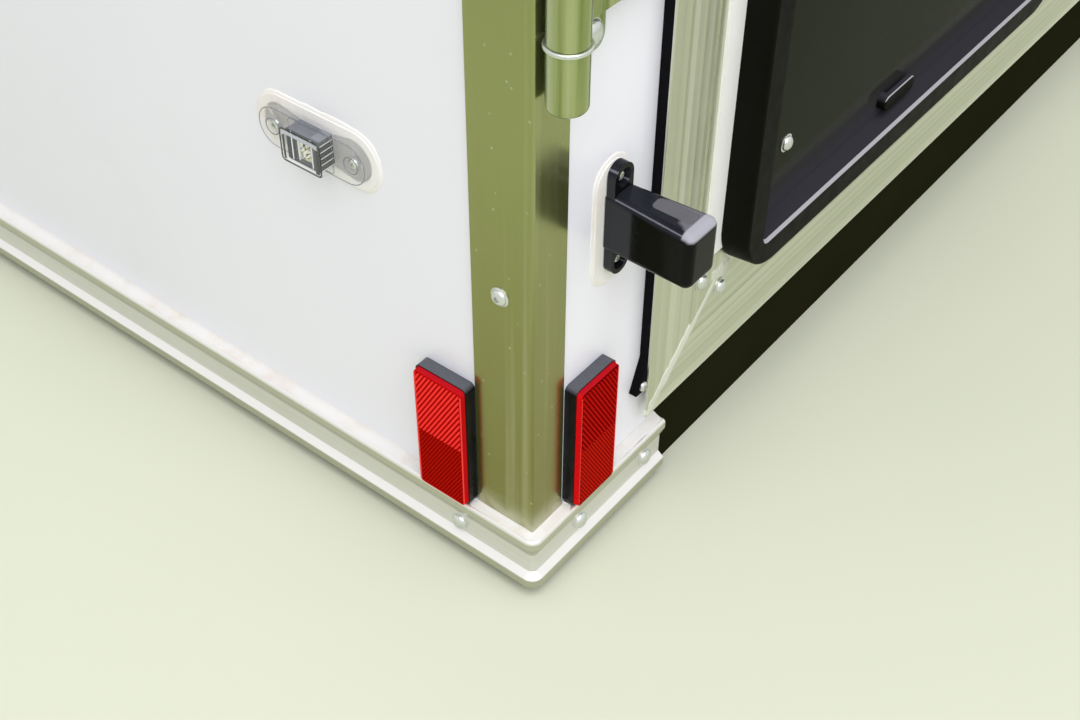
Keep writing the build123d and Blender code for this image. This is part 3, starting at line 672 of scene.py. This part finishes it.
# Name, body, face, kind and places (across, up, out, turn)
FASTENERS = (
    ("post_screw", "root", "side", "button", [(-20.8, 184.9, 2.5, 12)]),
    ("side_rail_rivets", "root", "side", "rivet", [(-54.8, -25, 6.0, 0), (-554.8, -25, 6.0, 0)]),
    ("end_rail_rivets", "root", "end", "rivet", [(43, -24, 6.0, 0), (115, -24, 6.0, 0)]),
    ("door_corner_bolts", "rear_door", "end", "bolt", [(187.5, 82.2, 8.5, 0), (163, 101.9, 8.5, 0)]),
    ("hinge_leaf_bolt", "root", "end", "coach", [(38.5, 341, 5.5, 0)]),
    ("seal_rivet", "root", "end", "small", [(106.5, 50, 6.6, 20)]),
    ("pane_screw", "rear_door", "end", "bolt", [(242, 169.2, 14.5, 0)]),
    ("outline_lamp_screws", "root", "end", "small", [(71.3, 236.6, 3.5, 35), (71.3, 178.6, 3.5, 10)]),
    ("side_marker_screws", "root", "side", "small", [(-187, 228, 3.5, 25), (-125, 228, 3.5, 60)]),
)


def add_fasteners():
    """One piece for each group of screws, rivets or bolts."""
    for name, body, face, kind, places in FASTENERS:
        bm = bmesh.new()
        for place in places:
            add_turned(bm, on_face(face, *place), *FASTENER_KINDS[kind])
        add_piece(name, bm, body, "zinc_steel")


# Beads and rims: distance between points, steps in a quarter turn, and sides of a half round
BEAD_STEP = 2.5
CORNER_STEPS = 8
BEAD_SIDES = 6
# A swept bead's lumps per millimetre, the finer lumps in its width, the shift in the noise for its height,
# and the least cosine that a mitre is widened by
LUMP_SCALE = 0.08
FINE_SCALE = 4
FINE_SHARE = 0.6
HEIGHT_SHIFT = Vector((0, 0, 7))
MITRE_LIMIT = 0.6


def walked(corners, closed=False):
    """Evenly spaced points along straight runs between corners."""
    corners = [Vector(corner) for corner in corners]
    ends = corners[1:] + corners[:1] if closed else corners[1:]
    points = []
    for start, end in zip(corners, ends):
        count = max(1, round((end - start).length / BEAD_STEP))
        points += [start.lerp(end, index / count) for index in range(count)]
    return points if closed else points + [corners[-1]]


def rounded_corners(across, up, width, height, radius):
    """Corners of a rounded rectangle, anticlockwise."""
    points = []
    for quarter, (side, rise) in enumerate(((1, 1), (-1, 1), (-1, -1), (1, -1))):
        middle = Vector((across + side * (width / 2 - radius), up + rise * (height / 2 - radius)))
        for step in range(CORNER_STEPS + 1):
            angle = math.pi / 2 * (quarter + step / CORNER_STEPS)
            points.append(middle + Vector((math.cos(angle), math.sin(angle))) * radius)
    return points


def add_strip(bm, place, points, section, closed=False, seed=0.0, wobble=0.3, material=0):
    """Sweep a section of (out to the right of the path, height) along points, unevenly."""
    count = len(points)
    rows = []
    for index, point in enumerate(points):
        before = points[index - 1] if closed or index else point
        after = points[(index + 1) % count] if closed or index < count - 1 else point
        along = (after - before).normalized()
        right = Vector((along.y, -along.x))
        reach = (point - before).normalized() if (point - before).length else along
        mitre = 1 / max(MITRE_LIMIT, reach.dot(along))
        lump = Vector((point.x * LUMP_SCALE, point.y * LUMP_SCALE, seed))
        fine = FINE_SHARE * noise.noise(lump * FINE_SCALE)
        width = 1 + wobble * noise.noise(lump) + wobble * fine
        height = 1 + wobble * noise.noise(lump + HEIGHT_SHIFT)
        rows.append([
            bm.verts.new(place @ Vector((*(point + right * out * width * mitre), up * height)))
            for out, up in section
        ])
    for row, following in zip(rows, rows[1:] + rows[:1] if closed else rows[1:]):
        for index in range(len(section) - 1):
            made = bm.faces.new((row[index], row[index + 1], following[index + 1], following[index]))
            made.material_index = material
    if not closed:
        bm.faces.new(rows[0])
        bm.faces.new(reversed(rows[-1]))


def half_round(width, height):
    """Section of a bead that lies on a face."""
    angles = [math.pi * step / BEAD_SIDES for step in range(BEAD_SIDES + 1)]
    return [(-width / 2 * math.cos(angle), height * math.sin(angle)) for angle in angles]


# Section of the bead in the corner of wall and ledge: out along the ledge, and up
LEDGE_SECTION = ((0, 3.4), (0.5, 2.2), (1.4, 1.3), (3.0, 0.75), (5.2, 0.5), (7.0, 0.35), (7.8, 0.02))
# The same round the post, which leaves less of the ledge
POST_SECTION = ((0, 2.2), (0.5, 1.3), (1.4, 0.8), (3.2, 0.5), (4.8, 0.3), (5.6, 0.02))
# Section and run of each bead along the ledge, in x and y, between the reflectors
LEDGE_RUNS = (
    (LEDGE_SECTION, [(-600, 0), (-84.5, 0)]),
    (POST_SECTION, [(-43, -1), (-41.5, -2.5), (1.5, -2.5), (2.5, -1.5), (2.5, 27), (1, 30.5)]),
    (LEDGE_SECTION, [(0, 72), (0, 132)]),
)


def add_ledge_beads():
    """Sealant in the corner of walls and ledge, and round the post's foot."""
    bm = bmesh.new()
    for number, (section, run) in enumerate(LEDGE_RUNS):
        add_strip(bm, on_face("ledge", 0, 0), walked(run), section, seed=number * 3.1, wobble=0.16)
    add_piece("ledge_sealant", bm, "root", "sealant", ledge_sealant_finish)


# Lamps with a pad under them and the face each is on, the bead's width and height, and how much the radius
# of its path falls short of a full round end
PADDED_LAMPS = (("side_marker", "side"), ("outline_lamp", "end"))
PAD_BEAD = (5.0, 0.9)
PAD_ROUND_GAP = 0.1


def add_pad_beads():
    """Uneven sealant squeezed out round the two lamp pads."""
    for name, face in PADDED_LAMPS:
        left, right, foot, head, _ = seen_on(face, f"{name}_pad")
        width, height = right - left, head - foot
        radius = min(width, height) / 2 - PAD_ROUND_GAP
        outline = rounded_corners((left + right) / 2, (foot + head) / 2, width, height, radius)
        bm = bmesh.new()
        add_strip(
            bm, on_face(face, 0, 0), walked(outline, closed=True), half_round(*PAD_BEAD),
            closed=True, seed=len(name), wobble=0.5,
        )
        add_piece(f"{name}_sealant", bm, "root", "sealant")


# Section of the bead along the door's mitre, which fills the flutes under it
MITRE_SECTION = ((-4.4, -1.4), (-3.6, -0.1), (-1.8, 0.2), (0, 0.3), (1.8, 0.2), (3.6, -0.1), (4.4, -1.4))
MITRE_MARGIN = 1
# Dab of sealant under the window's corner: place, half width and height, rise of its rings and its middle,
# and how much noise there is in its outline and in its rise
DAB_PLACE = (187, 96.5)
DAB_REACH = (11.5, 6.0)
DAB_RISE = 1.3
DAB_TOP = 1.4
DAB_RINGS = 5
DAB_SIDES = 40
DAB_RAGGED = 0.45
DAB_LUMPY = 0.5


def add_dab(bm, place):
    """Ragged low dome of sealant."""
    loops = []
    for ring in range(DAB_RINGS):
        share = 1 - ring / DAB_RINGS
        loop = []
        for step in range(DAB_SIDES):
            angle = math.tau * step / DAB_SIDES
            across, up = math.cos(angle), math.sin(angle)
            ragged = 1 + DAB_RAGGED * noise.noise(Vector((across * 1.6, up * 1.6, 3.0)))
            reach = Vector((across * DAB_REACH[0], up * DAB_REACH[1], 0)) * ragged * share
            lump = 1 + DAB_LUMPY * noise.noise(reach * 0.35)
            reach.z = DAB_RISE * (1 - share ** 2) * lump
            loop.append(bm.verts.new(place @ reach))
        loops.append(loop)
    top = bm.verts.new(place @ Vector((0, 0, DAB_TOP)))
    for step in range(DAB_SIDES):
        after = (step + 1) % DAB_SIDES
        for outer, inner in zip(loops, loops[1:]):
            bm.faces.new((outer[step], outer[after], inner[after], inner[step]))
        bm.faces.new((loops[-1][step], loops[-1][after], top))


def add_door_sealant():
    """Sealant along the mitre of the door's frame, and a dab under the window's corner."""
    low, high = edges_of("door_left_stile")
    rail_top = edges_of("door_bottom_rail")[1].z
    bm = bmesh.new()
    mitre = walked([
        (low.y + MITRE_MARGIN, low.z + MITRE_MARGIN), (high.y - MITRE_MARGIN, rail_top - MITRE_MARGIN)
    ])
    add_strip(bm, on_face("end", 0, 0, high.x), mitre, MITRE_SECTION, seed=5.0, wobble=0.5)
    add_dab(bm, on_face("end", *DAB_PLACE, high.x))
    add_piece("door_sealant", bm, "rear_door", "sealant", door_sealant_finish)


# Plain rim round a reflector's prisms, in millimetres, the ends of a prism's flanks over the lens, and where
# its ridge stands between them
PRISM_RIM = 1.8
PRISM_FOOT = 0.05
PRISM_RIDGE = 0.55
# Pitch and height of the prisms in each half
PRISM_HALVES = {"upper": (2.5, 0.5), "lower": (2.0, 0.3)}
# Face and slant of each reflector, with the lit and the shaded colour of each half
REFLECTORS = {
    "side_reflector": (
        "side", 60, {"upper": ((242, 52, 46), (150, 4, 6)), "lower": ((160, 18, 8), (122, 4, 2))}
    ),
    "end_reflector": (
        "end", -60, {"upper": ((166, 18, 12), (98, 2, 2)), "lower": ((170, 26, 14), (120, 8, 6))}
    ),
}
# Pyramids down both edges of a reflector's front, with their lit and their shaded colour
STUD_PITCH = 1.9
STUD_GAP = 0.4
STUD_FOOT = 0.02
STUD_RISE = 0.4
STUD_TONES = ((255, 74, 66), (176, 10, 12))
SQUARE = ((-1, -1), (1, -1), (1, 1), (-1, 1))


def red_pair(label, tones):
    """Lit and shaded finish of a piece."""
    return [
        red_lens(f"{label}_{side}", srgb(*tone), srgb(*tone)) for side, tone in zip(("lit", "shaded"), tones)
    ]


def add_prisms(name, face, slant, tones):
    """Two fields of slanting prisms on a reflector's front, each with a lit and a shaded flank."""
    left, right, foot, head, out = seen_on(face, f"{name}_lens")
    middle = (foot + head) / 2
    width = right - left - 2 * PRISM_RIM
    turn = Matrix.Rotation(math.radians(slant), 4, "Z")
    for half, (pitch, rise) in PRISM_HALVES.items():
        bottom, top = (middle, head - PRISM_RIM) if half == "upper" else (foot + PRISM_RIM, middle)
        height = top - bottom
        reach = (width + height) / 2
        bm = bmesh.new()
        for number in range(round(2 * reach / pitch)):
            start = -reach + number * pitch
            rows = [
                [bm.verts.new(turn @ Vector((end, start + share * pitch, up))) for end in (-reach, reach)]
                for share, up in ((0, PRISM_FOOT), (PRISM_RIDGE, rise), (1, PRISM_FOOT))
            ]
            for flank, (row, following) in enumerate(zip(rows, rows[1:])):
                bm.faces.new((row[0], row[1], following[1], following[0])).material_index = flank
        for outward in (Vector((-1, 0, 0)), Vector((1, 0, 0)), Vector((0, -1, 0)), Vector((0, 1, 0))):
            bmesh.ops.bisect_plane(
                bm, geom=bm.verts[:] + bm.edges[:] + bm.faces[:],
                plane_co=outward * (width if outward.x else height) / 2, plane_no=outward, clear_outer=True,
            )
        place = on_face(face, (left + right) / 2, (bottom + top) / 2, out)
        bmesh.ops.transform(bm, matrix=place, verts=bm.verts)
        label = f"{name}_{half}_prisms"
        add_piece(label, bm, "root", "red_lens", *red_pair(label, tones[half]))


def add_studs(name, face):
    """A column of small pyramids down each side of a reflector's front, two flanks lit and two shaded."""
    left, right, foot, head, out = seen_on(face, f"{name}_lens")
    half = (PRISM_RIM - STUD_GAP) / 2
    bm = bmesh.new()
    for middle in (left + PRISM_RIM / 2, right - PRISM_RIM / 2):
        for number in range(int((head - foot - 2 * PRISM_RIM) / STUD_PITCH)):
            place = on_face(face, middle, foot + PRISM_RIM + (number + 0.5) * STUD_PITCH, out)
            base = [
                bm.verts.new(place @ Vector((side * half, rise * half, STUD_FOOT))) for side, rise in SQUARE
            ]
            top = bm.verts.new(place @ Vector((0, 0, STUD_RISE)))
            for index, corner in enumerate(base):
                made = bm.faces.new((corner, base[(index + 1) % 4], top))
                made.material_index = 0 if index in (1, 2) else 1
    label = f"{name}_studs"
    add_piece(label, bm, "root", "red_lens", *red_pair(label, STUD_TONES))


# Colour and roughness of the side marker's optics: what shows through its clear lens, and the lens's edges,
# whose beads and bands are painted light and shade
OPTIC_TONES = {
    "white": ((238, 240, 240), 0.15),
    "amber": ((228, 222, 172), 0.2),
    "olive": ((66, 68, 46), 0.25),
    "black": ((12, 13, 11), 0.2),
    "slate": ((120, 123, 132), 0.15),
    "pale": ((176, 179, 190), 0.1),
}
OPTIC_NAMES = list(OPTIC_TONES)
# Faceted lens of a light chip: its size and cells, the rise of its points with its mean and its swing as
# shares, and the noise values over which a facet is white, a painted glint, or amber; the rest are black,
# painted shade
CRYSTAL_SIZE = (7.4, 8.4)
CRYSTAL_CELLS = (5, 6)
CRYSTAL_RISE = 2.4
CRYSTAL_MEAN = 0.6
CRYSTAL_SWING = 0.9
WHITE_FROM = 0.12
AMBER_FROM = -0.2
# The two chips on the core's front: offset from its middle and noise seed, and how far they are sunk in it
CHIPS = ((4.4, 1.3), (-4.4, 6.1))
CHIP_SINK = 2.2
# Upright bars across the core's front: offset from its middle, width, front and tone
UPRIGHT_BARS = (
    (-8.9, 0.9, 12.9, "white"),
    (-6.6, 3.0, 11.5, "olive"),
    (-4.6, 0.6, 12.2, "white"),
    (4.6, 1.6, 11.0, "olive"),
    (6.6, 1.0, 12.9, "white"),
)
BAR_MARGIN = 0.8
BAR_ROOT = 6
BAR_RIDGE = 0.35
# Ribs on the core's right flank: how many, the first one's height in steps, thickness, from and to out from
# the flank, and how far they stop short of seat and front
RIB_COUNT = 10
RIB_START = 0.6
RIB_GAUGE = 0.3
RIB_OUT = (0.02, 0.35)
RIB_MARGIN = 0.5
# Slate bar on the core's top, a painted sky reflection: its length, from and to over the top, and its ends
# off seat and front
SLATE_LENGTH = 7
SLATE_UP = (0.05, 0.4)
SLATE_ENDS = (0.3, 0.8)
# The lens's flange lies this far behind the core's front. Its own bead runs inside its edge, with a corner
# a little less than half its height
LENS_FOOT = 6.0
LENS_EDGE = 0.8
LENS_ROUND_GAP = 0.9
# Outlines of the beads round the raised middle's foot and front: width, height, corner
LENS_FOOT_OUTLINE = (34.0, 25.0, 2.5)
LENS_FRONT_OUTLINE = (31.0, 22.0, 2.4)
# How far the front's bead and bands lie behind it
FRONT_RIM_SINK = 0.6
FRONT_BAND_SINK = 0.7
# Straight bands behind the front: from, to, width and height, and tone; the pale and white ones are painted
# highlights, the black ones painted dark refraction
FRONT_BANDS = (
    ((-13.6, 8.7), (13.6, 8.7), (2.6, 0.3), "pale"),
    ((12.6, -9.6), (12.6, 7.2), (3.4, 0.3), "black"),
    ((-13.2, -9.6), (-13.2, 7.2), (1.8, 0.3), "black"),
    ((-11.4, -9.4), (11.0, -9.4), (0.5, 0.3), "white"),
)
# Rings round the two screw wells: offset from the middle, outline (width, height, corner) and bead
WELL_OFFSET = 31
WELL_OUTLINE = (10.6, 10.6, 5.29)
WELL_BEAD = (0.8, 0.25)


def add_bar(bm, place, low, high, tone):
    """Bar between two corners, in millimetres, with a ridge along its front."""
    left, foot, back = low
    right, head, front = high
    side = front - BAR_RIDGE
    outline = ((left, back), (right, back), (right, side), ((left + right) / 2, front), (left, side))
    rings = [[bm.verts.new(place @ Vector((x, up, out))) for x, out in outline] for up in (foot, head)]
    flanks = [
        (rings[0][index], rings[0][index - 4], rings[1][index - 4], rings[1][index]) for index in range(5)
    ]
    for corners in (*flanks, *rings):
        bm.faces.new(corners).material_index = OPTIC_NAMES.index(tone)


def add_crystal(bm, place, seed):
    """Faceted lens of a light chip, its facets amber, white as painted glints, and black as painted shade.
    """
    columns, rows = CRYSTAL_CELLS
    width, height = CRYSTAL_SIZE
    grid = []
    for row in range(rows + 1):
        line = []
        for column in range(columns + 1):
            inner = 0 < row < rows and 0 < column < columns
            lump = CRYSTAL_MEAN + CRYSTAL_SWING * noise.noise(Vector((column * 1.7, row * 1.7, seed)))
            across, up = width * (column / columns - 0.5), height * (row / rows - 0.5)
            line.append(bm.verts.new(place @ Vector((across, up, CRYSTAL_RISE * lump if inner else 0))))
        grid.append(line)
    for row in range(rows):
        for column in range(columns):
            a, b = grid[row][column:column + 2]
            d, c = grid[row + 1][column:column + 2]
            for turn, corners in enumerate(((a, b, c), (a, c, d))):
                # Facet tones by noise: white painted glints, amber, and black painted shade
                pick = noise.noise(Vector((column * 2.3 + turn, row * 2.1, seed + 9)))
                tone = "white" if pick > WHITE_FROM else "amber" if pick > AMBER_FROM else "black"
                bm.faces.new(corners).material_index = OPTIC_NAMES.index(tone)


def add_core_details(bm, middle, half_width, half_height, seat, front):
    """Bars, light chips, ribs of painted highlight and dark reflection, and a slate bar of painted sky
    reflection on the side marker's dark core.
    """
    place = on_face("side", *middle)
    for offset, width, reach, tone in UPRIGHT_BARS:
        low = (offset - width / 2, -half_height + BAR_MARGIN, seat + BAR_ROOT)
        add_bar(bm, place, low, (offset + width / 2, half_height - BAR_MARGIN, reach), tone)
    for rise, seed in CHIPS:
        add_crystal(bm, on_face("side", middle[0], middle[1] + rise, front - CHIP_SINK), seed)
    # Ribs alternately olive, a painted dark reflection, and white, a painted highlight
    for rib in range(RIB_COUNT):
        up = -half_height + (rib + RIB_START) * 2 * half_height / RIB_COUNT
        low = (half_width + RIB_OUT[0], up, seat + RIB_MARGIN)
        high = (half_width + RIB_OUT[1], up + RIB_GAUGE, front - RIB_MARGIN)
        add_bar(bm, place, low, high, "olive" if rib % 2 else "white")
    # Slate bar on the top, a painted sky reflection
    low = (half_width - SLATE_LENGTH, half_height + SLATE_UP[0], seat + SLATE_ENDS[0])
    high = (half_width, half_height + SLATE_UP[1], front - SLATE_ENDS[1])
    add_bar(bm, place, low, high, "slate")


def add_lens_edges(bm, middle, length, height, foot_front, front):
    """Painted highlights, painted dark refraction and painted shade lines on the edges of the side marker's
    clear lens, as beads and bands behind its surface.
    """
    edge = 2 * LENS_EDGE
    flange = (length - edge, height - edge, height / 2 - LENS_ROUND_GAP)
    # Painted light and shade on the lens's edges: the black front outline is painted dark refraction, the
    # slate outlines painted shade lines
    # Outline (width, height, corner), its place out, bead and tone
    rims = (
        (flange, foot_front, (0.6, 0.2), "slate"),
        (LENS_FRONT_OUTLINE, front - FRONT_RIM_SINK, (1.2, 0.3), "black"),
        (LENS_FOOT_OUTLINE, foot_front, (0.5, 0.2), "slate"),
    )
    behind = on_face("side", *middle, front - FRONT_BAND_SINK)
    for start, end, bead, tone in FRONT_BANDS:
        band = walked([start, end])
        add_strip(bm, behind, band, half_round(*bead), wobble=0.2, material=OPTIC_NAMES.index(tone))
    for outline, out, bead, tone in rims:
        add_strip(
            bm, on_face("side", *middle, out), walked(rounded_corners(0, 0, *outline), closed=True),
            half_round(*bead), closed=True, wobble=0.25, material=OPTIC_NAMES.index(tone),
        )
    # Painted shade lines round the screw wells
    for side in (-1, 1):
        add_strip(
            bm, on_face("side", middle[0] + side * WELL_OFFSET, middle[1], foot_front),
            walked(rounded_corners(0, 0, *WELL_OUTLINE), closed=True), half_round(*WELL_BEAD),
            closed=True, seed=side, material=OPTIC_NAMES.index("slate"),
        )


def add_marker_optics():
    """Everything inside the side marker's clear lens, as one piece of several tones."""
    left, right, foot, head, front = seen_on("side", "side_marker_core")
    seat = -edges_of("side_marker_core")[1].y
    lens_left, lens_right, lens_foot, lens_head, lens_front = seen_on("side", "side_marker_lens")
    middle = ((left + right) / 2, (foot + head) / 2)
    bm = bmesh.new()
    add_core_details(bm, middle, (right - left) / 2, (head - foot) / 2, seat, front)
    add_lens_edges(
        bm, middle, lens_right - lens_left, lens_head - lens_foot, front - LENS_FOOT, lens_front
    )
    add_piece("side_marker_optics", bm, "root", "clear_lens", *(
        plastic(f"optic_{tone}", srgb(*colour), rough) for tone, (colour, rough) in OPTIC_TONES.items()
    ))


# Stage: pale floor, soft light
FLOOR_HALF = 40.0
FLOOR_ROUGH = 0.9
KEY_SIZE = 2.4
KEY_POWER = 58.0
KEY_PLACE = (1.15, -1.15, 2.4)
KEY_AIM = (0.15, -0.35, 0.2)
KEY_COLOUR = (1, 0.99, 0.99)
WORLD_COLOUR = (0.96, 0.98, 1.0, 1)
WORLD_STRENGTH = 0.74
WHITE = (1, 1, 1, 1)


def add_floor():
    """Pale floor that reaches past the view."""
    mesh = bpy.data.meshes.new("floor")
    corners = [(across * FLOOR_HALF, along * FLOOR_HALF, 0) for across, along in SQUARE]
    mesh.from_pydata(corners, [], [(0, 1, 2, 3)])
    floor = bpy.data.objects.new("floor", mesh)
    bpy.context.scene.collection.objects.link(floor)
    finish = Finish("floor_finish", Roughness=FLOOR_ROUGH)
    finish.colour(finish.mix(finish.noise(2), srgb(205, 209, 188), srgb(211, 214, 195)))
    mesh.materials.append(finish.material)


def add_key_light():
    """Soft square lamp over the corner."""
    light = bpy.data.lights.new("key", "AREA")
    light.shape = "SQUARE"
    light.size = KEY_SIZE
    light.energy = KEY_POWER
    light.color = KEY_COLOUR
    holder = bpy.data.objects.new("key", light)
    bpy.context.scene.collection.objects.link(holder)
    holder.location = KEY_PLACE
    holder.rotation_mode = "QUATERNION"
    holder.rotation_quaternion = (Vector(KEY_AIM) - Vector(KEY_PLACE)).to_track_quat("-Z", "Y")


def add_world():
    """Even pale surroundings, which the camera, gloss and glass see as white."""
    world = bpy.data.worlds.new("world")
    bpy.context.scene.world = world
    world.use_nodes = True
    tree = world.node_tree
    background = tree.nodes["Background"]
    background.inputs["Color"].default_value = WORLD_COLOUR
    background.inputs["Strength"].default_value = WORLD_STRENGTH
    white = tree.nodes.new("ShaderNodeBackground")
    white.inputs["Color"].default_value = WHITE
    path = tree.nodes.new("ShaderNodeLightPath")
    seen = path.outputs["Is Camera Ray"]
    for ray in ("Is Glossy Ray", "Is Transmission Ray"):
        either = tree.nodes.new("ShaderNodeMath")
        either.operation = "MAXIMUM"
        tree.links.new(seen, either.inputs[0])
        tree.links.new(path.outputs[ray], either.inputs[1])
        seen = either.outputs[0]
    share = tree.nodes.new("ShaderNodeMixShader")
    tree.links.new(seen, share.inputs["Fac"])
    tree.links.new(background.outputs[0], share.inputs[1])
    tree.links.new(white.outputs[0], share.inputs[2])
    tree.links.new(share.outputs[0], tree.nodes["World Output"].inputs["Surface"])


bpy.context.scene.view_settings.view_transform = "Standard"
add_camera()
add_world()
add_floor()
add_key_light()
dress_cad_nodes()
add_fasteners()
add_ledge_beads()
add_pad_beads()
add_door_sealant()
for reflector, (face, slant, tones) in REFLECTORS.items():
    add_prisms(reflector, face, slant, tones)
for reflector, (face, *_) in REFLECTORS.items():
    add_studs(reflector, face)
add_marker_optics()
